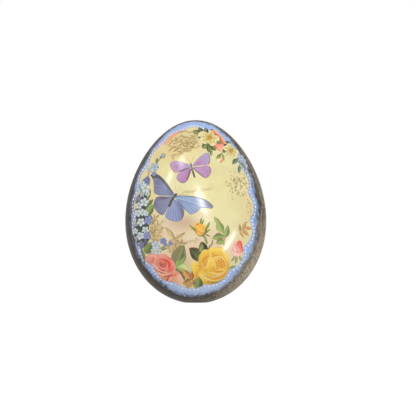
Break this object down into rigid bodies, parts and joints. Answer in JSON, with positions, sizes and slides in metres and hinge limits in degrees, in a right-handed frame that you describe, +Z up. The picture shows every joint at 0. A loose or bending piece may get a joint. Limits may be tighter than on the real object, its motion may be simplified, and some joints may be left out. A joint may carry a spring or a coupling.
{
  "type": "decoupage egg",
  "caption": "Turned wooden craft egg, its front covered with glued paper cut-outs: a scalloped oval frame around roses, small flowers and butterflies, under gloss lacquer.",
  "frame": {"origin": "centre of the small flat foot that the egg stands on", "axes": "+Z up along the egg's axis, from the blunt end to the pointed end; -Y out of the middle of the decorated side; +X to the right of someone facing it"},
  "size_m": [0.0922, 0.0931, 0.1196],
  "materials": {
    "egg_body": "turned limewood, sponged bronze-brown paint, gloss lacquer",
    "ground_sheet": "aged cream paper under gloss lacquer",
    "scallop_frame": "powder-blue printed paper with a pearl-dot border, under gloss lacquer",
    "purple_butterfly": "printed paper under gloss lacquer",
    "blue_butterfly": "printed paper under gloss lacquer",
    "yellow_rosebud": "printed paper under gloss lacquer",
    "green_leaf_sprig": "printed paper under gloss lacquer",
    "pink_rosebud": "printed paper under gloss lacquer",
    "brown_leaf_sprig": "printed paper under gloss lacquer",
    "dark_rose_leaves": "printed paper under gloss lacquer",
    "large_rose_leaf": "printed paper under gloss lacquer",
    "coral_bud": "printed paper under gloss lacquer",
    "coral_petal": "printed paper under gloss lacquer",
    "forget_me_not_tuft": "printed paper under gloss lacquer",
    "yellow_rose": "printed paper under gloss lacquer",
    "pink_rose": "printed paper under gloss lacquer",
    "forget_me_not_spray": "printed paper under gloss lacquer",
    "garland_leaves": "printed paper under gloss lacquer",
    "bellflower_sprig": "printed paper under gloss lacquer",
    "low_leaf": "printed paper under gloss lacquer",
    "russet_leaves": "printed paper under gloss lacquer",
    "large_dog_rose": "printed paper under gloss lacquer",
    "small_dog_rose": "printed paper under gloss lacquer",
    "coral_rose": "printed paper under gloss lacquer"
  },
  "bodies": {
    "root": {"egg_body": "egg_body", "ground_sheet": "ground_sheet", "scallop_frame": "scallop_frame", "purple_butterfly": "purple_butterfly", "blue_butterfly": "blue_butterfly", "yellow_rosebud": "yellow_rosebud", "green_leaf_sprig": "green_leaf_sprig", "pink_rosebud": "pink_rosebud", "brown_leaf_sprig": "brown_leaf_sprig", "dark_rose_leaves": "dark_rose_leaves", "large_rose_leaf": "large_rose_leaf", "coral_bud": "coral_bud", "coral_petal": "coral_petal", "forget_me_not_tuft": "forget_me_not_tuft", "yellow_rose": "yellow_rose", "pink_rose": "pink_rose", "forget_me_not_spray": "forget_me_not_spray", "garland_leaves": "garland_leaves", "bellflower_sprig": "bellflower_sprig", "low_leaf": "low_leaf", "russet_leaves": "russet_leaves", "large_dog_rose": "large_dog_rose", "small_dog_rose": "small_dog_rose", "coral_rose": "coral_rose"}
  },
  "joints": []
}
